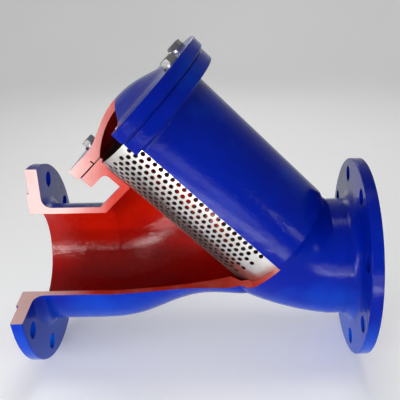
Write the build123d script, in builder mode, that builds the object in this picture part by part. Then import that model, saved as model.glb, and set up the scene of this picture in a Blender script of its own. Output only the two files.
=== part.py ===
from build123d import *
from math import cos, radians, sin, tan
import os

# Flanged Y strainer, 150 mm bore, shown as a cutaway.
# Origin at the centre of the inlet flange's bolt circle, on the face behind its raised ring,
# +X out of the inlet, +Z up, -Y the near side.
# The branch leans back over the run at 45 degrees and carries the screen and the cover.
# The near lower quarter of casting, cover and gasket is cut away; the screen stays whole.

os.makedirs("parts", exist_ok=True)

# Main run: 16 bar flanges, 480 mm face to face
FACE_TO_FACE = 480.0
BORE_R = 75.0
PIPE_R = 84.0
FLANGE_R = 142.5
FLANGE_T = 19.0
RAISED_R = 105.5
RAISED_T = 3.0
INLET_FACE = RAISED_T
OUTLET_FACE = INLET_FACE - FACE_TO_FACE
FLANGE_FILLET = 14.0
RIM_EASE = 1.0
FLANGE_BOLT_CIRCLE_R = 120.0
FLANGE_HOLE_R = 11.5
FLANGE_HOLES = 8

# Barrel; heights s run along the branch axis from the run's centreline, radii r from that axis
BRANCH_X = -97.0
BRANCH_ANGLE = 45.0
BARREL_R = 94.0
BARREL_BORE_R = 85.0
BARREL_FOOT = 38.0
BARREL_FOOT_R = 91.0
BARREL_FOOT_T = 8.0
BODY_FLANGE_R = 123.0
BODY_FLANGE_LOW = 284.0
BODY_FACE = 302.5
BODY_FLANGE_FILLET = 8.0
GUIDE_LIP_R = 79.5
GUIDE_LIP_T = 12.0

# Seat for the screen's lower end
SEAT_HOLE_R = 73.0
SEAT_HOLE_LOW = 30.0
SEAT_LEDGE = 32.0
SEAT_TOP = 46.0
SEAT_SOCKET_R = 78.6
BORE_CONE_T = 6.0

# Inlet elbow, with one leaning section between the round run and the barrel's foot
INLET_TUBE_END = -52.0
INLET_BORE_END = -47.0
ELBOW_TILT = 18.0
ELBOW_CENTRE = (-81.0, 7.0)
ELBOW_BORE_CENTRE = (-80.0, 6.0)
ELBOW_BORE_R = 73.5

# Outlet neck: its shoulder stands square to the barrel, and its floor climbs to the seat
NECK_KNEE_X = -375.0
NECK_BORE_KNEE_X = -368.0
NECK_SECTIONS = (
    # share of the shoulder's length, floor x, floor z, half width
    (0.08, -335.0, -81.0, 85.0),
    (0.25, -287.0, -65.0, 85.5),
    (0.37, -245.0, -48.5, 87.5),
    (0.49, -195.0, -44.0, 90.0),
    (1.00, -150.0, -8.0, 87.0),
)
# The hollow keeps a wall of 9 under the neck, and a thicker web at the seat
NECK_HOLLOW_SECTIONS = (
    (0.08, -337.0, -72.0, 76.0),
    (0.25, -290.0, -56.5, 76.5),
    (0.37, -248.0, -40.0, 79.0),
    (0.49, -202.0, -26.0, 81.0),
    (1.00, -149.0, 27.0, 82.0),
)
SHOULDER_END_R = 20.0

# Cover, domed, with a turned groove round the gasket's seat
COVER_R = 126.5
COVER_LOW = 304.4
COVER_TOP = 321.0
DOME_PEAK = 341.0
CROWN_R = 40.0
CROWN_S = 334.4
CONE_R = 66.0
CONE_S = 325.0
DOME_FOOT_R = 88.0
DOME_INSIDE_PEAK = 331.8
DOME_MOUTH_R = 79.2
GROOVE_IN_R = 92.0
GROOVE_OUT_R = 94.0
GROOVE_DEPTH = 5.5

# Gasket between the two faces, inside the groove
GASKET_IN_R = 80.0
GASKET_OUT_R = 91.5

# Screen, a rolled cylinder that stands on the seat's ledge
SCREEN_R = 78.0
SCREEN_WALL = 1.5
SCREEN_TOP = 299.5

# Cover bolts, M12 x 40 with plain washers, on a circle of six
COVER_BOLT_CIRCLE_R = 107.0
BOLT_R = 6.0
BOLT_LENGTH = 40.0
HEAD_FLATS = 19.0
HEAD_T = 7.5
HEAD_TOP_R = 8.8
HEAD_BEVEL = 60.0
TAPPED_R = 6.05
TAPPED_DEPTH = 22.0
COVER_HOLE_R = 7.0
WASHER_R = 12.0
WASHER_HOLE_R = 6.5
WASHER_T = 2.5
COVER_HOLES = 6
COVER_HOLE_START = 30.0
# The cutaway takes the bolt at 30 degrees and halves the hole at 90, so four bolts are left
BOLT_ANGLES = (150.0, 210.0, 270.0, 330.0)
HEAD_TURNS = (12.0, 41.0, 3.0, 22.0)

# Cutaway: the near quarter on the low side of the branch axis, down to just under the run's axis
CUT_DROP_ANGLE = 6.0
CUT_FOOT = 41.0
CUT_REACH = 400.0

LEAN = radians(BRANCH_ANGLE)
UP_BRANCH = Vector(-cos(LEAN), 0, sin(LEAN))
OFF_BRANCH = Vector(-sin(LEAN), 0, -cos(LEAN))
BRANCH_BASE = Vector(BRANCH_X, 0, 0)
BRANCH_AXIS = Axis(BRANCH_BASE, UP_BRANCH)
# Square to the branch: local x points to the low side, local y to the near side
BRANCH = Plane(origin=BRANCH_BASE, x_dir=OFF_BRANCH, z_dir=UP_BRANCH)
# The plane of symmetry with local x as radius and local y as height along the branch
BRANCH_PROFILE = Plane(origin=BRANCH_BASE, x_dir=OFF_BRANCH, z_dir=(0, 1, 0))


def branch_point(s, r):
    """Point on the plane of symmetry at height s and radius r of the branch."""
    return BRANCH_BASE + UP_BRANCH * s + OFF_BRANCH * r


def branch_height(point):
    """Height of a point along the branch axis."""
    return (point - BRANCH_BASE).dot(UP_BRANCH)


def bolt_plane(angle, s):
    """Plane square to the branch at one cover bolt and height s."""
    turn = radians(angle)
    spot = (COVER_BOLT_CIRCLE_R * cos(turn), COVER_BOLT_CIRCLE_R * sin(turn))
    return Plane(origin=BRANCH.offset(s).from_local_coords(spot), x_dir=OFF_BRANCH, z_dir=UP_BRANCH)


def leaning_plane(x, z, tilt):
    """Section plane of the inlet elbow, square to the run when tilt is 0."""
    lean = radians(tilt)
    return Plane(origin=(x, 0, z), x_dir=(0, 1, 0), z_dir=(cos(lean), 0, -sin(lean)))


def spanning_plane(top, floor):
    """Section plane of the outlet neck through a shoulder point and a floor point."""
    return Plane(origin=(top + floor) * 0.5, x_dir=(0, 1, 0), z_dir=Vector(0, 1, 0).cross(top - floor))


def neck_spans(knee_x, radius, sections):
    """Top point, floor point and half width of each section of the neck or its hollow."""
    knee = Vector(knee_x, 0, radius)
    shoulder = branch_point(branch_height(knee), SHOULDER_END_R) - knee
    return [(knee + shoulder * share, Vector(floor_x, 0, floor_z), half_width)
            for share, floor_x, floor_z, half_width in sections]


# The quarter that is taken from casting, cover and gasket
with BuildPart() as cutaway:
    with BuildSketch(Plane.YZ.offset(-FACE_TO_FACE)):
        with BuildLine():
            drop = CUT_REACH * tan(radians(CUT_DROP_ANGLE))
            Polyline((0, 0), (0, CUT_REACH), (-CUT_REACH, CUT_REACH), (-CUT_REACH, -drop), close=True)
        make_face()
    extrude(amount=FACE_TO_FACE)
    with BuildSketch(BRANCH_PROFILE):
        with Locations((CUT_REACH, CUT_FOOT + CUT_REACH)):
            Rectangle(2 * CUT_REACH, 2 * CUT_REACH)
    extrude(amount=CUT_REACH, both=True, mode=Mode.INTERSECT)

# The casting: two flanged stubs, barrel, inlet elbow and outlet neck in one
with BuildPart() as body_casting:
    for face_x, inward, stub_x in ((OUTLET_FACE, 1, NECK_KNEE_X), (INLET_FACE, -1, INLET_TUBE_END)):
        back_x = face_x + inward * FLANGE_T
        step_x = face_x + inward * RAISED_T
        with BuildSketch(Plane.XZ) as run_section:
            with BuildLine():
                Polyline(
                    (face_x, 0),
                    (face_x, RAISED_R),
                    (step_x, RAISED_R),
                    (step_x, FLANGE_R),
                    (back_x, FLANGE_R),
                    (back_x, PIPE_R),
                    (stub_x, PIPE_R),
                    (stub_x, 0),
                    close=True,
                )
            make_face()
            fillet(run_section.vertices().sort_by_distance((back_x, PIPE_R, 0))[0], FLANGE_FILLET)
            chamfer(run_section.vertices().group_by(Axis.Y)[-1], RIM_EASE)
        revolve(axis=Axis.X)

    with BuildSketch(BRANCH_PROFILE) as barrel_section:
        with BuildLine():
            Polyline(
                (0, BARREL_FOOT),
                (BARREL_FOOT_R, BARREL_FOOT),
                (BARREL_R, BARREL_FOOT + BARREL_FOOT_T),
                (BARREL_R, BODY_FLANGE_LOW),
                (BODY_FLANGE_R, BODY_FLANGE_LOW),
                (BODY_FLANGE_R, BODY_FACE),
                (0, BODY_FACE),
                close=True,
            )
        make_face()
        fillet(barrel_section.vertices().sort_by_distance((BARREL_R, BODY_FLANGE_LOW, 0))[0], BODY_FLANGE_FILLET)
        chamfer(barrel_section.vertices().group_by(Axis.X)[-1], RIM_EASE)
    revolve(axis=BRANCH_AXIS)

    foot_centre = branch_point(BARREL_FOOT, 0)
    with BuildSketch(Plane.YZ.offset(INLET_TUBE_END)):
        Circle(PIPE_R)
    with BuildSketch(leaning_plane(*ELBOW_CENTRE, ELBOW_TILT)):
        Circle(PIPE_R)
    with BuildSketch(leaning_plane(foot_centre.X, foot_centre.Z, BRANCH_ANGLE)):
        Circle(BARREL_FOOT_R)
    loft()

    with BuildSketch(Plane.YZ.offset(NECK_KNEE_X)):
        Circle(PIPE_R)
    for top, floor, half_width in neck_spans(NECK_KNEE_X, PIPE_R, NECK_SECTIONS):
        with BuildSketch(spanning_plane(top, floor)):
            Ellipse(half_width, (top - floor).length / 2)
    loft()

    # Inlet bore, leaning over to the hole under the seat
    with BuildSketch(Plane.YZ.offset(INLET_FACE)):
        Circle(BORE_R)
    extrude(amount=INLET_BORE_END - INLET_FACE, mode=Mode.SUBTRACT)
    seat_centre = branch_point(SEAT_HOLE_LOW, 0)
    with BuildSketch(Plane.YZ.offset(INLET_BORE_END)):
        Circle(BORE_R)
    with BuildSketch(leaning_plane(*ELBOW_BORE_CENTRE, ELBOW_TILT)):
        Circle(ELBOW_BORE_R)
    with BuildSketch(leaning_plane(seat_centre.X, seat_centre.Z, BRANCH_ANGLE)):
        Circle(SEAT_HOLE_R)
    loft(mode=Mode.SUBTRACT)

    # Seat socket, barrel bore and guide lip, all turned about the branch axis
    with BuildSketch(BRANCH_PROFILE):
        with BuildLine():
            lip_low = BODY_FACE - GUIDE_LIP_T
            Polyline(
                (0, SEAT_HOLE_LOW),
                (SEAT_HOLE_R, SEAT_HOLE_LOW),
                (SEAT_HOLE_R, SEAT_LEDGE),
                (SEAT_SOCKET_R, SEAT_LEDGE),
                (SEAT_SOCKET_R, SEAT_TOP),
                (BARREL_BORE_R, SEAT_TOP + BORE_CONE_T),
                (BARREL_BORE_R, lip_low - BORE_CONE_T),
                (GUIDE_LIP_R, lip_low),
                (GUIDE_LIP_R, BODY_FACE),
                (0, BODY_FACE),
                close=True,
            )
        make_face()
    revolve(axis=BRANCH_AXIS, mode=Mode.SUBTRACT)

    # Outlet bore and the neck's hollow
    with BuildSketch(Plane.YZ.offset(OUTLET_FACE)):
        Circle(BORE_R)
    extrude(amount=NECK_BORE_KNEE_X - OUTLET_FACE, mode=Mode.SUBTRACT)
    with BuildSketch(Plane.YZ.offset(NECK_BORE_KNEE_X)):
        Circle(BORE_R)
    for top, floor, half_width in neck_spans(NECK_BORE_KNEE_X, BORE_R, NECK_HOLLOW_SECTIONS):
        with BuildSketch(spanning_plane(top, floor)):
            Ellipse(half_width, (top - floor).length / 2)
    loft(mode=Mode.SUBTRACT)

    # Flange holes straddle the centrelines
    for face_x, inward in ((OUTLET_FACE, 1), (INLET_FACE, -1)):
        with BuildSketch(Plane.YZ.offset(face_x)):
            with PolarLocations(FLANGE_BOLT_CIRCLE_R, FLANGE_HOLES, start_angle=180 / FLANGE_HOLES):
                Circle(FLANGE_HOLE_R)
        extrude(amount=inward * FLANGE_T, mode=Mode.SUBTRACT)
    with BuildSketch(BRANCH.offset(BODY_FACE)):
        with PolarLocations(COVER_BOLT_CIRCLE_R, COVER_HOLES, start_angle=COVER_HOLE_START):
            Circle(TAPPED_R)
    extrude(amount=-TAPPED_DEPTH, mode=Mode.SUBTRACT)

    add(cutaway.part, mode=Mode.SUBTRACT)

body_casting.part.label = "body_casting"
export_step(body_casting.part, "parts/body_casting.step")

# The domed cover, turned about the branch axis
with BuildPart() as cover:
    with BuildSketch(BRANCH_PROFILE) as cover_section:
        with BuildLine():
            TangentArc((0, DOME_PEAK), (CROWN_R, CROWN_S), tangent=(1, 0))
            Line((CROWN_R, CROWN_S), (CONE_R, CONE_S))
            TangentArc((CONE_R, CONE_S), (DOME_FOOT_R, COVER_TOP), tangent=(CONE_R - CROWN_R, CONE_S - CROWN_S))
            Polyline(
                (DOME_FOOT_R, COVER_TOP),
                (COVER_R, COVER_TOP),
                (COVER_R, COVER_LOW),
                (GROOVE_OUT_R, COVER_LOW),
                (GROOVE_OUT_R, COVER_LOW + GROOVE_DEPTH),
                (GROOVE_IN_R, COVER_LOW + GROOVE_DEPTH),
                (GROOVE_IN_R, COVER_LOW),
                (DOME_MOUTH_R, COVER_LOW),
            )
            TangentArc((0, DOME_INSIDE_PEAK), (DOME_MOUTH_R, COVER_LOW), tangent=(1, 0))
            Line((0, DOME_INSIDE_PEAK), (0, DOME_PEAK))
        make_face()
        chamfer(cover_section.vertices().group_by(Axis.X)[-1], RIM_EASE)
    revolve(axis=BRANCH_AXIS)
    with BuildSketch(BRANCH.offset(COVER_TOP)):
        with PolarLocations(COVER_BOLT_CIRCLE_R, COVER_HOLES, start_angle=COVER_HOLE_START):
            Circle(COVER_HOLE_R)
    extrude(amount=COVER_LOW - COVER_TOP, mode=Mode.SUBTRACT)
    add(cutaway.part, mode=Mode.SUBTRACT)

cover.part.label = "cover"
export_step(cover.part, "parts/cover.step")

with BuildPart() as cover_gasket:
    with BuildSketch(BRANCH.offset(BODY_FACE)):
        Circle(GASKET_OUT_R)
        Circle(GASKET_IN_R, mode=Mode.SUBTRACT)
    extrude(amount=COVER_LOW - BODY_FACE)
    add(cutaway.part, mode=Mode.SUBTRACT)

cover_gasket.part.label = "cover_gasket"
export_step(cover_gasket.part, "parts/cover_gasket.step")

with BuildPart() as screen:
    with BuildSketch(BRANCH.offset(SEAT_LEDGE)):
        Circle(SCREEN_R)
        Circle(SCREEN_R - SCREEN_WALL, mode=Mode.SUBTRACT)
    extrude(amount=SCREEN_TOP - SEAT_LEDGE)

screen.part.label = "screen"
export_step(screen.part, "parts/screen.step")

# Hex head bolts and plain washers, each piece in its own place round the cover
for number, (angle, turn) in enumerate(zip(BOLT_ANGLES, HEAD_TURNS), start=1):
    head_low = COVER_TOP + WASHER_T
    with BuildPart() as cover_bolt:
        with BuildSketch(bolt_plane(angle, head_low)):
            RegularPolygon(HEAD_FLATS / 2, side_count=6, major_radius=False, rotation=turn)
        extrude(amount=HEAD_T)
        with BuildSketch(bolt_plane(angle, head_low + HEAD_T)):
            Circle(HEAD_TOP_R)
        extrude(amount=-HEAD_T, taper=-HEAD_BEVEL, mode=Mode.INTERSECT)
        with BuildSketch(bolt_plane(angle, head_low)):
            Circle(BOLT_R)
        extrude(amount=-BOLT_LENGTH)
    cover_bolt.part.label = f"cover_bolt_{number}"
    export_step(cover_bolt.part, f"parts/cover_bolt_{number}.step")

    with BuildPart() as washer:
        with BuildSketch(bolt_plane(angle, COVER_TOP)):
            Circle(WASHER_R)
            Circle(WASHER_HOLE_R, mode=Mode.SUBTRACT)
        extrude(amount=WASHER_T)
    washer.part.label = f"washer_{number}"
    export_step(washer.part, f"parts/washer_{number}.step")
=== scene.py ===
"""Looks of a cut-open flanged Y strainer: enamelled casting, perforated screen, zinc bolts."""

from math import cos, pi, radians, sin, sqrt, tan

import bmesh
import bpy
from mathutils import Matrix, Vector


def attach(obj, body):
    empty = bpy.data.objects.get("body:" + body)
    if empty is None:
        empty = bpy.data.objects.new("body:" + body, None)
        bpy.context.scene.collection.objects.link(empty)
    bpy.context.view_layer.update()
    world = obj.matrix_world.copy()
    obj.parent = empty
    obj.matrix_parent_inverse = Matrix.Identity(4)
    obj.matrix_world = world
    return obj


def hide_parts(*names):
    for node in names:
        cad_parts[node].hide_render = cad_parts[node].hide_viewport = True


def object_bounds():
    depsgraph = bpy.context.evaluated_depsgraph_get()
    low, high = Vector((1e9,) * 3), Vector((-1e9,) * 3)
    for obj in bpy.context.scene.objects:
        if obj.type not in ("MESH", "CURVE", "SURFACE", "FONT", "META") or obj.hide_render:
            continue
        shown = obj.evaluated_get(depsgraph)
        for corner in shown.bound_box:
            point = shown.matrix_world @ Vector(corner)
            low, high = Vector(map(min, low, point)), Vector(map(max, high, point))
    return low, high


MM = 0.001

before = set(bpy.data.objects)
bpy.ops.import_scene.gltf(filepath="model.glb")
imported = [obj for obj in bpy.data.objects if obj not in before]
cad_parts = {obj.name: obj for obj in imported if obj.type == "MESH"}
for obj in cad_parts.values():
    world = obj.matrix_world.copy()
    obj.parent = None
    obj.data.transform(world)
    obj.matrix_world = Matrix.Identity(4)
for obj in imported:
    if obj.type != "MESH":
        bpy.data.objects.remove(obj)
cad_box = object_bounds()

# The branch leans back over the run; s is the height along it, r the distance from it
BRANCH_BASE = Vector((-97.0, 0, 0)) * MM
UP_BRANCH = Vector((-sqrt(0.5), 0, sqrt(0.5)))
OFF_BRANCH = Vector((-sqrt(0.5), 0, -sqrt(0.5)))
NEAR = Vector((0, -1, 0))
BRANCH_TURN = Matrix((OFF_BRANCH, NEAR, UP_BRANCH)).transposed()

# Cut faces: a point on each and its outward normal
CUT_DROP_ANGLE = radians(6.0)
CUT_FOOT = 41.0 * MM
CUT_FACES = (
    (Vector((0, 0, 0)), NEAR),
    (BRANCH_BASE, OFF_BRANCH),
    (BRANCH_BASE + UP_BRANCH * CUT_FOOT, UP_BRANCH),
    (Vector((0, 0, 0)), Vector((0, -sin(CUT_DROP_ANGLE), cos(CUT_DROP_ANGLE)))),
)
CUT_X_LIMIT = -0.1
# The sawn faces carry a painted pale sheen at the outlet's upper corner that fades to the full red from the
# neck on:
# these are places along the way given below, in metres
SHEEN_WAY = (1.0, 0.0, -0.2)
SHEEN_FULL = -0.445
SHEEN_GONE = -0.38

# Middle lines of the passages, used to tell inside from outside
INLET_LINE = ((3, 0), (-47, 0), (-80, 6), (-118, 21))
OUTLET_LINE = ((-477, 0), (-368, 0), (-348, 6), (-315, 22), (-289, 36), (-261, 46))
BARREL_TOP = 302.5 * MM
BARREL_LOW = 20.0 * MM
PASSAGE_REACH = 96.0 * MM

# Heights s and distances r between which the casting and the cover are red or bare inside
SEAT_BOTTOM = 29.0 * MM
LIP_TOP = 303.0 * MM
BARREL_INSIDE_R = 86.5 * MM
COVER_INSIDE_R = 79.8 * MM
TAPPED_LOW = 279.0 * MM
TAPPED_HIGH = 302.4 * MM
BOLT_HOLE_REACH = 8.0 * MM
# How far the middle of a sawn face may lie from its plane
SAWN_DEPTH = 0.05 * MM

# How a face has to be turned: each is a cosine
SAWN_ALIGNED = 0.9995
FACING_IN = -0.2
ALONG_HOLE = 0.1
ACROSS_BRANCH = 0.5
FACING_DOWN = -0.05

# Screen
SCREEN_R = 78.0 * MM
SCREEN_WALL = 1.5 * MM
SCREEN_LOW = 32.0 * MM
SCREEN_HIGH = 299.5 * MM
HOLE_R = 3.25 * MM
HOLE_PITCH = 9.85 * MM
HOLE_ROWS = 56
FIRST_HOLE = 67.5 * MM
CELLS_PER_ROW = 23
RIM_POINTS = 16
# The rim point nearest to the first corner of its cell's border
RIM_START = 10

# Paint in the joint between body flange and cover
BEAD_SECTION = tuple((r * MM, s * MM) for r, s in (
    (119.5, 302.52), (122.3, 302.52), (122.0, 303.2), (122.1, 303.8), (122.5, 304.34), (119.5, 304.34)))
BEAD_START = pi / 2
BEAD_TURN = 3 * pi / 2
BEAD_STEPS = 108

# Cover bolts
BOLT_CIRCLE_R = 107.0 * MM
COVER_TOP = 321.0 * MM
WASHER_T = 2.5 * MM
BOLT_ANGLES = (150.0, 210.0, 270.0, 330.0)
HEAD_TURNS = (12.0, 41.0, 3.0, 22.0)
HEAD_FLATS = 19.0 * MM
HEAD_T = 7.5 * MM
HEAD_TOP_R = 8.8 * MM
BOLT_R = 6.0 * MM
THREAD_ROOT_R = 5.1 * MM
THREAD_PITCH = 1.75 * MM
THREAD_LENGTH = 30.0 * MM
# One tooth: distance from the axis, and share of the pitch
THREAD_TOOTH = ((THREAD_ROOT_R, 0.06), (BOLT_R, 0.44), (BOLT_R, 0.56), (THREAD_ROOT_R, 0.94))
BOLT_LENGTH = 40.0 * MM
TIP_CHAMFER = 0.8 * MM
TIP_R = 4.4 * MM
# Share of a pitch that the tip reaches up into the thread
TIP_OVERLAP = 0.4
HEAD_BEVEL = radians(30.0)
HEAD_STEPS = 48
THREAD_STEPS = 24


# Node helpers

def new_material(name):
    material = bpy.data.materials.new(name)
    material.use_nodes = True
    nodes = material.node_tree.nodes
    shader = nodes["Principled BSDF"]
    return material, nodes, material.node_tree.links, shader


def noise(nodes, links, where, scale, detail=3.0, rough=0.5):
    node = nodes.new("ShaderNodeTexNoise")
    node.inputs["Scale"].default_value = scale
    node.inputs["Detail"].default_value = detail
    node.inputs["Roughness"].default_value = rough
    links.new(where, node.inputs["Vector"])
    return node.outputs["Fac"]


def ramp(nodes, links, value, stops):
    node = nodes.new("ShaderNodeValToRGB")
    node.color_ramp.elements[0].position = stops[0][0]
    node.color_ramp.elements[0].color = (*stops[0][1], 1)
    node.color_ramp.elements[1].position = stops[-1][0]
    node.color_ramp.elements[1].color = (*stops[-1][1], 1)
    for place, colour in stops[1:-1]:
        node.color_ramp.elements.new(place).color = (*colour, 1)
    links.new(value, node.inputs["Fac"])
    return node.outputs["Color"]


def spread(nodes, links, value, low, high):
    node = nodes.new("ShaderNodeMapRange")
    node.inputs["To Min"].default_value = low
    node.inputs["To Max"].default_value = high
    links.new(value, node.inputs["Value"])
    return node.outputs["Result"]


def bump(nodes, links, height, distance, strength, normal=None):
    node = nodes.new("ShaderNodeBump")
    node.inputs["Distance"].default_value = distance
    node.inputs["Strength"].default_value = strength
    links.new(height, node.inputs["Height"])
    if normal is not None:
        links.new(normal, node.inputs["Normal"])
    return node.outputs["Normal"]


def soft_edges(nodes, radius):
    node = nodes.new("ShaderNodeBevel")
    node.samples = 6
    node.inputs["Radius"].default_value = radius
    return node.outputs["Normal"]


# Paints and metals

PATCHINESS = 0.55
# Stops on the colour ramp for random patches plus painted light and shade by height
TONE_AND_LIGHT_STOPS = (0.0, 0.29, 0.67)
CLOUD_DEPTH = 0.5


def enamel(name, colours, gloss, sheen, roughcast, shading_heights, height_shading):
    """Brushed-on gloss enamel over a cast skin: slow waves, lumps, orange peel, uneven gloss.

    Between the two heights given, the colour moves up the ramp as painted light on the lower parts, or down
    it as painted shade on the lower parts where the shift is negative.
    """
    material, nodes, links, shader = new_material(name)
    where = nodes.new("ShaderNodeTexCoord").outputs["Object"]
    split = nodes.new("ShaderNodeSeparateXYZ")
    links.new(where, split.inputs["Vector"])
    # Painted light and shade by height: lower parts move along the colour ramp
    height_light = nodes.new("ShaderNodeMapRange")
    height_light.inputs["From Min"].default_value = shading_heights[0]
    height_light.inputs["From Max"].default_value = shading_heights[1]
    height_light.inputs["To Max"].default_value = height_shading
    links.new(split.outputs["Z"], height_light.inputs["Value"])
    tone_and_light = nodes.new("ShaderNodeMath")
    tone_and_light.operation = "MULTIPLY_ADD"
    tone_and_light.inputs[1].default_value = PATCHINESS
    links.new(noise(nodes, links, where, scale=9.0, detail=4.0, rough=0.55), tone_and_light.inputs[0])
    links.new(height_light.outputs["Result"], tone_and_light.inputs[2])
    tone_and_light_colour = ramp(nodes, links, tone_and_light.outputs["Value"], tuple(zip(TONE_AND_LIGHT_STOPS, colours)))
    links.new(tone_and_light_colour, shader.inputs["Base Color"])
    smears = noise(nodes, links, where, scale=45.0)
    links.new(spread(nodes, links, smears, low=gloss[0], high=gloss[1]), shader.inputs["Roughness"])
    waves = noise(nodes, links, where, scale=28.0, detail=2.0)
    lumps = noise(nodes, links, where, scale=120.0, rough=0.65)
    peel = noise(nodes, links, where, scale=340.0, detail=2.0)
    normal = soft_edges(nodes, radius=1.6 * MM)
    normal = bump(nodes, links, waves, distance=2.0 * MM, strength=0.25, normal=normal)
    normal = bump(nodes, links, lumps, distance=0.9 * MM, strength=roughcast, normal=normal)
    normal = bump(nodes, links, peel, distance=0.4 * MM, strength=roughcast * 0.7, normal=normal)
    links.new(normal, shader.inputs["Normal"])
    shader.inputs["IOR"].default_value = 1.5
    shader.inputs["Specular IOR Level"].default_value = sheen
    return material


def sawn_paint(name, rim, heart):
    """Red paint over a sawn face with a painted pale sheen towards the outlet, random clouds and faint
    parallel marks.
    """
    material, nodes, links, shader = new_material(name)
    where = nodes.new("ShaderNodeTexCoord").outputs["Object"]
    way = nodes.new("ShaderNodeVectorMath")
    way.operation = "DOT_PRODUCT"
    way.inputs[1].default_value = SHEEN_WAY
    links.new(where, way.inputs[0])
    # Painted sheen: pale towards the outlet, fading to the red paint along the way
    along = nodes.new("ShaderNodeMapRange")
    along.inputs["From Min"].default_value = SHEEN_FULL
    along.inputs["From Max"].default_value = SHEEN_GONE
    links.new(way.outputs["Value"], along.inputs["Value"])
    clouds = nodes.new("ShaderNodeMath")
    clouds.operation = "MULTIPLY_ADD"
    clouds.inputs[1].default_value = CLOUD_DEPTH
    clouds.inputs[2].default_value = -CLOUD_DEPTH / 2
    links.new(noise(nodes, links, where, scale=26.0, detail=4.0, rough=0.6), clouds.inputs[0])
    cover = nodes.new("ShaderNodeMath")
    cover.operation = "ADD"
    links.new(along.outputs["Result"], cover.inputs[0])
    links.new(clouds.outputs["Value"], cover.inputs[1])
    paint_and_sheen_colour = ramp(nodes, links, cover.outputs["Value"], ((0.0, rim), (1.0, heart)))
    links.new(paint_and_sheen_colour, shader.inputs["Base Color"])
    smears = noise(nodes, links, where, scale=60.0)
    links.new(spread(nodes, links, smears, low=0.26, high=0.42), shader.inputs["Roughness"])
    shader.inputs["Specular IOR Level"].default_value = 0.14
    marks = nodes.new("ShaderNodeTexWave")
    marks.bands_direction = "DIAGONAL"
    marks.inputs["Scale"].default_value = 260.0
    marks.inputs["Distortion"].default_value = 1.5
    marks.inputs["Detail"].default_value = 2.0
    links.new(where, marks.inputs["Vector"])
    lumps = noise(nodes, links, where, scale=90.0)
    normal = soft_edges(nodes, radius=0.5 * MM)
    normal = bump(nodes, links, marks.outputs["Fac"], distance=0.06 * MM, strength=0.25, normal=normal)
    normal = bump(nodes, links, lumps, distance=0.4 * MM, strength=0.2, normal=normal)
    links.new(normal, shader.inputs["Normal"])
    return material


def steel(name, bright, dull, gloss, grain_along, grain_scale):
    """Bare or plated metal with a fine grain and handling marks; its stains are duller and rougher."""
    material, nodes, links, shader = new_material(name)
    shader.inputs["Metallic"].default_value = 1.0
    where = nodes.new("ShaderNodeTexCoord").outputs["Object"]
    stretch = nodes.new("ShaderNodeMapping")
    stretch.inputs["Rotation"].default_value = (0, radians(-45.0), 0)
    stretch.inputs["Scale"].default_value = grain_along
    links.new(where, stretch.inputs["Vector"])
    grain = noise(nodes, links, stretch.outputs["Vector"], scale=grain_scale, detail=2.0)
    stains = noise(nodes, links, where, scale=35.0, detail=4.0, rough=0.6)
    links.new(ramp(nodes, links, stains, ((0.32, dull), (0.62, bright))), shader.inputs["Base Color"])
    links.new(spread(nodes, links, stains, low=gloss[1], high=gloss[0]), shader.inputs["Roughness"])
    links.new(bump(nodes, links, grain, distance=0.05 * MM, strength=0.3), shader.inputs["Normal"])
    return material


def gasket_sheet(name):
    material, nodes, links, shader = new_material(name)
    where = nodes.new("ShaderNodeTexCoord").outputs["Object"]
    fibres = noise(nodes, links, where, scale=700.0)
    links.new(ramp(nodes, links, fibres, ((0.3, (0.012, 0.012, 0.013)), (0.7, (0.05, 0.048, 0.045)))),
              shader.inputs["Base Color"])
    shader.inputs["Roughness"].default_value = 0.8
    links.new(bump(nodes, links, fibres, distance=0.1 * MM, strength=0.4), shader.inputs["Normal"])
    return material


# The blue's bright cyan end is painted light on the lower parts; the red darkens towards the bottom of the
# bore as painted shade
BLUE = enamel("blue_enamel", colours=((0.0002, 0.003, 0.15), (0.0003, 0.009, 0.235), (0.0008, 0.066, 0.50)),
              gloss=(0.1, 0.2), sheen=0.1, roughcast=0.45, shading_heights=(0.01, -0.12), height_shading=0.42)
RED = enamel("red_enamel", colours=((0.19, 0.001, 0.001), (0.38, 0.006, 0.001), (0.47, 0.014, 0.002)),
             gloss=(0.12, 0.26), sheen=0.22, roughcast=0.8, shading_heights=(0.05, -0.07), height_shading=-0.32)
# rim is the pale pink of a painted sheen; heart is the red paint
CUT = sawn_paint("sawn_red", rim=(0.66, 0.43, 0.41), heart=(0.41, 0.022, 0.01))
BARE = steel("machined_iron", bright=(0.42, 0.41, 0.40), dull=(0.2, 0.19, 0.18),
             gloss=(0.3, 0.5), grain_along=(1, 1, 1), grain_scale=300.0)
STAINLESS = steel("stainless_sheet", bright=(0.70, 0.69, 0.66), dull=(0.55, 0.53, 0.50),
                  gloss=(0.26, 0.42), grain_along=(1, 1, 0.05), grain_scale=900.0)
# The screen's inner face: the same steel made much darker, as painted shade
SHADED_STAINLESS = steel("stainless_painted_shade", bright=(0.16, 0.15, 0.145), dull=(0.09, 0.083, 0.08),
                       gloss=(0.42, 0.6), grain_along=(1, 1, 0.05), grain_scale=900.0)
ZINC = steel("zinc_plate", bright=(0.38, 0.38, 0.37), dull=(0.19, 0.185, 0.18),
             gloss=(0.24, 0.42), grain_along=(1, 1, 1), grain_scale=420.0)
GASKET = gasket_sheet("gasket_sheet")
BLUE_INDEX, RED_INDEX, CUT_INDEX, BARE_INDEX = range(4)


# Sorting the CAD faces into outside, inside, sawn and bare

def branch_s_r(point):
    away = point - BRANCH_BASE
    s = away.dot(UP_BRANCH)
    return s, (away - UP_BRANCH * s).length


def on_line(line, point):
    """Nearest point of a chain of straight runs."""
    best = None
    for (xa, za), (xb, zb) in zip(line, line[1:]):
        a, b = Vector((xa, 0, za)) * MM, Vector((xb, 0, zb)) * MM
        run = b - a
        share = min(1.0, max(0.0, (point - a).dot(run) / run.length_squared))
        spot = a + run * share
        if best is None or (point - spot).length < (point - best).length:
            best = spot
    return best


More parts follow.
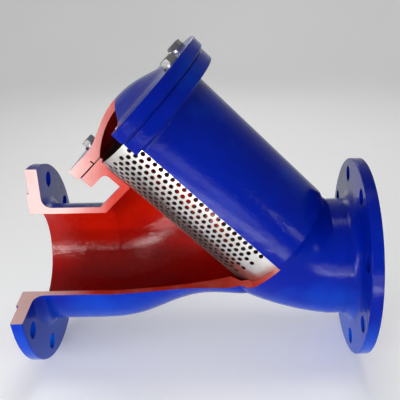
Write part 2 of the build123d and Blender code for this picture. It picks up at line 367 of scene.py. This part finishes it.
def faces_inward(point, normal, spot):
    away = point - spot
    return away.length < PASSAGE_REACH and normal.dot(away) < FACING_IN * away.length


def in_bolt_hole(normal, r):
    return abs(r - BOLT_CIRCLE_R) < BOLT_HOLE_REACH and abs(normal.dot(UP_BRANCH)) < ALONG_HOLE


def is_sawn(point, normal):
    return point.x < CUT_X_LIMIT and any(
        normal.dot(n) > SAWN_ALIGNED and abs((point - p).dot(n)) < SAWN_DEPTH for p, n in CUT_FACES)


def casting_paint(point, normal):
    s, r = branch_s_r(point)
    if is_sawn(point, normal):
        return CUT_INDEX
    if TAPPED_LOW < s < TAPPED_HIGH and in_bolt_hole(normal, r):
        return BARE_INDEX
    if SEAT_BOTTOM < s < LIP_TOP and r < BARREL_INSIDE_R:
        across = abs(normal.dot(UP_BRANCH)) > ACROSS_BRANCH
        if across or faces_inward(point, normal, BRANCH_BASE + UP_BRANCH * s):
            return RED_INDEX
    barrel_spot = BRANCH_BASE + UP_BRANCH * min(max(s, BARREL_LOW), BARREL_TOP)
    inward = any(faces_inward(point, normal, spot)
                 for spot in (barrel_spot, on_line(INLET_LINE, point), on_line(OUTLET_LINE, point)))
    return RED_INDEX if inward else BLUE_INDEX


def cover_paint(point, normal):
    r = branch_s_r(point)[1]
    if is_sawn(point, normal):
        return CUT_INDEX
    if normal.dot(UP_BRANCH) < FACING_DOWN and r < COVER_INSIDE_R:
        return RED_INDEX
    return BARE_INDEX if in_bolt_hole(normal, r) else BLUE_INDEX


def paint(node, choose):
    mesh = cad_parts[node].data
    mesh.materials.clear()
    for material in (BLUE, RED, CUT, BARE):
        mesh.materials.append(material)
    for polygon in mesh.polygons:
        polygon.material_index = choose(polygon.center, polygon.normal)


def finish_with(node, material):
    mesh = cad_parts[node].data
    mesh.materials.clear()
    mesh.materials.append(material)


paint("body_casting", casting_paint)
paint("cover", cover_paint)
finish_with("cover_gasket", GASKET)
for number in range(1, len(BOLT_ANGLES) + 1):
    finish_with(f"washer_{number}", ZINC)


# New pieces

def add_piece(name, mesh_maker, material, body, node=None):
    """A mesh piece that moves with a body and may stand for a CAD node."""
    shape = bmesh.new()
    mesh_maker(shape)
    bmesh.ops.recalc_face_normals(shape, faces=shape.faces)
    mesh = bpy.data.meshes.new(name)
    shape.to_mesh(mesh)
    shape.free()
    mesh.materials.append(material)
    piece = bpy.data.objects.new(name, mesh)
    bpy.context.scene.collection.objects.link(piece)
    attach(piece, body)
    if node is not None:
        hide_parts(node)
    return piece


def smooth(piece, edge_angle):
    """Smooth shading that stays sharp at edges over this many degrees."""
    for polygon in piece.data.polygons:
        polygon.use_smooth = True
    piece.data.set_sharp_from_angle(angle=radians(edge_angle))


def on_branch(r, angle, s):
    return BRANCH_BASE + BRANCH_TURN @ Vector((r * cos(angle), r * sin(angle), s))


def perforated_sleeve(shape):
    """The rolled sheet, one rectangular cell round each hole.

    Every second row is staggered by half a pitch, and its first cell has no hole.
    """
    row_turn = 2 * pi / HOLE_ROWS
    walls = (SCREEN_R, SCREEN_R - SCREEN_WALL)
    corners = ((-1, -1), (0, -1), (1, -1), (1, 0), (1, 1), (0, 1), (-1, 1), (-1, 0))
    known = {}

    def vertex(r, angle, s):
        """The vertex at this place, made once and shared by the faces round it."""
        key = (round(r / MM, 3), round(angle % (2 * pi) * 1e4) % round(2 * pi * 1e4), round(s / MM, 3))
        if key not in known:
            known[key] = shape.verts.new(on_branch(r, angle, s))
        return known[key]

    def face(*around):
        shape.faces.new(around)

    def cell_border(r, turn, s):
        return [vertex(r, turn + side * row_turn / 2, s + along * HOLE_PITCH / 2) for along, side in corners]

    def hole_rim(r, turn, s):
        steps = [2 * pi * k / RIM_POINTS for k in range(RIM_POINTS)]
        return [vertex(r, turn + HOLE_R * sin(step) / SCREEN_R, s + HOLE_R * cos(step)) for step in steps]

    def blank_cell(r, turn, s):
        edge = cell_border(r, turn, s)
        face(edge[0], edge[1], edge[2], edge[3], edge[7])
        face(edge[7], edge[3], edge[4], edge[5], edge[6])

    def pierced_cell(r, turn, s):
        """Three triangles between each eighth of the border and two steps of the rim."""
        edge = cell_border(r, turn, s)
        rim = hole_rim(r, turn, s)
        for k in range(len(corners)):
            a, b = edge[k], edge[(k + 1) % len(corners)]
            one, two, three = (rim[(RIM_START + 2 * k + step) % RIM_POINTS] for step in range(3))
            face(a, one, two)
            face(a, two, b)
            face(b, two, three)

    def plain_margin(r, turn, low, high):
        left, middle, right = (
            [vertex(r, turn + side * row_turn / 2, s) for s in (low, high)] for side in (-1, 0, 1))
        face(left[0], middle[0], middle[1], left[1])
        face(middle[0], right[0], right[1], middle[1])

    for row in range(HOLE_ROWS):
        turn = row * row_turn
        staggered = row % 2 == 0
        first = FIRST_HOLE + (HOLE_PITCH / 2 if staggered else 0)
        holes = [first + count * HOLE_PITCH for count in range(1 if staggered else 0, CELLS_PER_ROW)]
        edge_low = first - HOLE_PITCH / 2
        edge_high = edge_low + CELLS_PER_ROW * HOLE_PITCH
        for r in walls:
            if staggered:
                blank_cell(r, turn, first)
            for s in holes:
                pierced_cell(r, turn, s)
            plain_margin(r, turn, SCREEN_LOW, edge_low)
            plain_margin(r, turn, edge_high, SCREEN_HIGH)
        for s in holes:
            outer, inner = (hole_rim(r, turn, s) for r in walls)
            for k in range(RIM_POINTS):
                nxt = (k + 1) % RIM_POINTS
                face(outer[k], outer[nxt], inner[nxt], inner[k])
        for s in (SCREEN_LOW, SCREEN_HIGH):
            for side in (-1, 0):
                ends = (turn + side * row_turn / 2, turn + (side + 1) * row_turn / 2)
                outer, inner = ([vertex(r, angle, s) for angle in ends] for r in walls)
                face(outer[0], outer[1], inner[1], inner[0])


screen_sheet = add_piece("perforated_screen", perforated_sleeve, STAINLESS,
                         body="screen", node="screen")
screen_sheet.data.materials.append(SHADED_STAINLESS)
# Inner wall faces take the darker steel: painted shade
for polygon in screen_sheet.data.polygons:
    if branch_s_r(polygon.center)[1] < SCREEN_R - SCREEN_WALL / 2:
        polygon.material_index = 1
smooth(screen_sheet, 40.0)


def hex_r(angle):
    """Distance from the bolt's axis to the side of its hexagon."""
    local = (angle + pi / 6) % (pi / 3) - pi / 6
    return HEAD_FLATS / 2 / cos(local)


def shoulder_height(angle):
    """Height at which the head's chamfer meets the side of its hexagon."""
    return HEAD_T - (hex_r(angle) - HEAD_TOP_R) * tan(HEAD_BEVEL)


def threaded_bolt(place):
    """Chamfered hex head, plain neck and a cut thread with its own helix."""

    def make(shape):
        thread_start = THREAD_LENGTH - BOLT_LENGTH

        def vertex(r, angle, height):
            return shape.verts.new(place @ Vector((r * cos(angle), r * sin(angle), height)))

        def ring(steps, radius_of, height_of):
            angles = [2 * pi * k / steps for k in range(steps)]
            return [vertex(radius_of(angle), angle, height_of(angle)) for angle in angles]

        def join(one, two):
            for k in range(len(one)):
                nxt = (k + 1) % len(one)
                shape.faces.new((one[k], one[nxt], two[nxt], two[k]))

        def round_ring(steps, r, height):
            return ring(steps, lambda angle: r, lambda angle: height)

        top = round_ring(HEAD_STEPS, HEAD_TOP_R, HEAD_T)
        shoulder = ring(HEAD_STEPS, hex_r, shoulder_height)
        foot = ring(HEAD_STEPS, hex_r, lambda angle: 0.0)
        neck = round_ring(HEAD_STEPS, BOLT_R, 0.0)
        neck_end = round_ring(HEAD_STEPS, BOLT_R, thread_start)
        shape.faces.new(top)
        for one, two in ((top, shoulder), (shoulder, foot), (foot, neck), (neck, neck_end)):
            join(one, two)
        shape.faces.new(neck_end)

        turns = int(THREAD_LENGTH / THREAD_PITCH) - 1
        helix = []
        for step in range(turns * THREAD_STEPS + 1):
            angle = 2 * pi * step / THREAD_STEPS
            height = thread_start - THREAD_PITCH * step / THREAD_STEPS
            helix.append([vertex(r, angle, height - THREAD_PITCH * share) for r, share in THREAD_TOOTH])
        for one, two in zip(helix, helix[1:]):
            for k in range(len(THREAD_TOOTH) - 1):
                shape.faces.new((one[k], two[k], two[k + 1], one[k + 1]))
        for step in range((turns - 1) * THREAD_STEPS):
            above, below = helix[step:step + 2], helix[step + THREAD_STEPS:step + THREAD_STEPS + 2]
            shape.faces.new((above[0][-1], above[1][-1], below[1][0], below[0][0]))

        tip_top = round_ring(THREAD_STEPS, THREAD_ROOT_R, thread_start - THREAD_PITCH * (turns - TIP_OVERLAP))
        tip_mid = round_ring(THREAD_STEPS, THREAD_ROOT_R, TIP_CHAMFER - BOLT_LENGTH)
        tip_end = round_ring(THREAD_STEPS, TIP_R, -BOLT_LENGTH)
        join(tip_top, tip_mid)
        join(tip_mid, tip_end)
        shape.faces.new(tip_end)

    return make


for number, (angle, head_turn) in enumerate(zip(BOLT_ANGLES, HEAD_TURNS), start=1):
    place = on_branch(BOLT_CIRCLE_R, radians(angle), COVER_TOP + WASHER_T)
    head_axes = BRANCH_TURN @ Matrix.Rotation(radians(head_turn), 3, "Z")
    bolt = add_piece(f"hex_bolt_{number}", threaded_bolt(Matrix.Translation(place) @ head_axes.to_4x4()),
                     ZINC, body=f"bolt_{number}", node=f"cover_bolt_{number}")
    smooth(bolt, 25.0)


def paint_bead(shape):
    """Paint that has run into the joint under the cover, from one sawn face round to the other."""
    rows = []
    for step in range(BEAD_STEPS + 1):
        angle = BEAD_START + BEAD_TURN * step / BEAD_STEPS
        rows.append([shape.verts.new(on_branch(r, angle, s)) for r, s in BEAD_SECTION])
    for one, two in zip(rows, rows[1:]):
        for k in range(len(BEAD_SECTION)):
            nxt = (k + 1) % len(BEAD_SECTION)
            shape.faces.new((one[k], one[nxt], two[nxt], two[k]))
    shape.faces.new(rows[0])
    shape.faces.new(rows[-1])


bead = add_piece("joint_paint", paint_bead, BLUE, body="strainer_body")
smooth(bead, 40.0)


# Stage: pale floor that turns up into a backdrop
FLOOR_Z = cad_box[0][2] - 0.5 * MM
MIDDLE = Vector((-0.237, 0, 0.06))
FLOOR_LIFT = 0.2
PAPER_STOPS = ((0.3, (0.84, 0.84, 0.83)), (0.7, (0.87, 0.87, 0.86)))
FLOOR_REACH = 6.0
BACKDROP_Y = 3.0
BACKDROP_BEND = 1.2
BEND_STEPS = 12


def pale_sheet():
    """Matt pale paper, lifted a little where it is seen directly, mirrored or looked through."""
    material, nodes, links, shader = new_material("pale_floor")
    where = nodes.new("ShaderNodeTexCoord").outputs["Object"]
    paper = noise(nodes, links, where, scale=3.0)
    links.new(ramp(nodes, links, paper, PAPER_STOPS), shader.inputs["Base Color"])
    shader.inputs["Roughness"].default_value = 0.8
    shader.inputs["Emission Color"].default_value = (1.0, 0.99, 0.97, 1)
    light_path = nodes.new("ShaderNodeLightPath")
    seen = light_path.outputs["Is Camera Ray"]
    for kind in ("Is Glossy Ray", "Is Transmission Ray"):
        either = nodes.new("ShaderNodeMath")
        either.operation = "MAXIMUM"
        links.new(seen, either.inputs[0])
        links.new(light_path.outputs[kind], either.inputs[1])
        seen = either.outputs["Value"]
    lift = nodes.new("ShaderNodeMath")
    lift.operation = "MULTIPLY"
    lift.inputs[1].default_value = FLOOR_LIFT
    links.new(seen, lift.inputs[0])
    links.new(lift.outputs["Value"], shader.inputs["Emission Strength"])
    return material


def sweep_floor():
    bend_y = BACKDROP_Y - BACKDROP_BEND
    rows = [(-FLOOR_REACH, 0.0), (bend_y, 0.0)]
    for step in range(1, BEND_STEPS + 1):
        angle = pi / 2 * step / BEND_STEPS
        rows.append((bend_y + BACKDROP_BEND * sin(angle), BACKDROP_BEND * (1 - cos(angle))))
    rows.append((BACKDROP_Y, FLOOR_REACH))
    verts = [(side * FLOOR_REACH + MIDDLE.x, y, FLOOR_Z + z) for y, z in rows for side in (-1, 1)]
    faces = [(2 * k, 2 * k + 1, 2 * k + 3, 2 * k + 2) for k in range(len(rows) - 1)]
    mesh = bpy.data.meshes.new("studio_sweep")
    mesh.from_pydata(verts, [], faces)
    for polygon in mesh.polygons:
        polygon.use_smooth = True
    mesh.materials.append(pale_sheet())
    sweep = bpy.data.objects.new("studio_sweep", mesh)
    bpy.context.scene.collection.objects.link(sweep)


sweep_floor()


def softbox(name, place, size, power, spread_angle=180.0):
    light = bpy.data.lights.new(name, "AREA")
    light.shape = "RECTANGLE"
    light.size, light.size_y = size
    light.energy = power
    light.spread = radians(spread_angle)
    lamp = bpy.data.objects.new(name, light)
    lamp.location = place
    lamp.rotation_euler = (Vector(place) - MIDDLE).to_track_quat("Z", "Y").to_euler()
    bpy.context.scene.collection.objects.link(lamp)


softbox("key", place=(-1.45, -0.95, 0.22), size=(0.8, 0.5), power=2.6, spread_angle=80.0)
softbox("low_strip", place=(-0.76, -1.15, 0.045), size=(0.3, 0.13), power=1.2, spread_angle=80.0)
softbox("low_front", place=(0.1, -1.6, 0.05), size=(0.9, 0.24), power=0.7, spread_angle=80.0)
softbox("foot", place=(-0.2, -0.85, -0.115), size=(1.1, 0.04), power=1.5, spread_angle=100.0)
softbox("side", place=(1.25, -1.25, 0.4), size=(0.12, 0.12), power=1.6)
softbox("top", place=(-0.1, 0.2, 1.9), size=(0.8, 0.6), power=9.0)
softbox("back", place=(-0.3, 2.2, 1.1), size=(1.2, 0.8), power=2.5, spread_angle=100.0)

world = bpy.data.worlds.new("studio")
world.use_nodes = True
world.node_tree.nodes["Background"].inputs["Color"].default_value = (0.96, 0.98, 1.0, 1)
world.node_tree.nodes["Background"].inputs["Strength"].default_value = 0.3
bpy.context.scene.world = world

# Camera, fitted to the photograph
CAMERA_PLACE = Vector((-192.4, -778.8, 421.1)) * MM
CAMERA_YAW = radians(-0.08)
CAMERA_DOWN = radians(23.85)
CAMERA_ROLL = radians(-1.09)
FOCAL_PIXELS = 596.9
MIDDLE_PIXELS = (228.2, 209.4)
IMAGE_PIXELS = 400
SENSOR = 36.0

right = Vector((cos(CAMERA_YAW), -sin(CAMERA_YAW), 0))
ahead = Vector((sin(CAMERA_YAW) * cos(CAMERA_DOWN), cos(CAMERA_YAW) * cos(CAMERA_DOWN), -sin(CAMERA_DOWN)))
above = right.cross(ahead)
rolled_right = right * cos(CAMERA_ROLL) + above * sin(CAMERA_ROLL)
rolled_up = above * cos(CAMERA_ROLL) - right * sin(CAMERA_ROLL)
camera_data = bpy.data.cameras.new("camera")
camera_data.sensor_width = SENSOR
camera_data.lens = FOCAL_PIXELS / IMAGE_PIXELS * SENSOR
camera_data.shift_x = 0.5 - MIDDLE_PIXELS[0] / IMAGE_PIXELS
camera_data.shift_y = MIDDLE_PIXELS[1] / IMAGE_PIXELS - 0.5
camera = bpy.data.objects.new("camera", camera_data)
camera_axes = Matrix((rolled_right, rolled_up, -ahead)).transposed()
camera.matrix_world = Matrix.Translation(CAMERA_PLACE) @ camera_axes.to_4x4()
bpy.context.scene.collection.objects.link(camera)
bpy.context.scene.camera = camera

bpy.context.scene.view_settings.view_transform = "Standard"
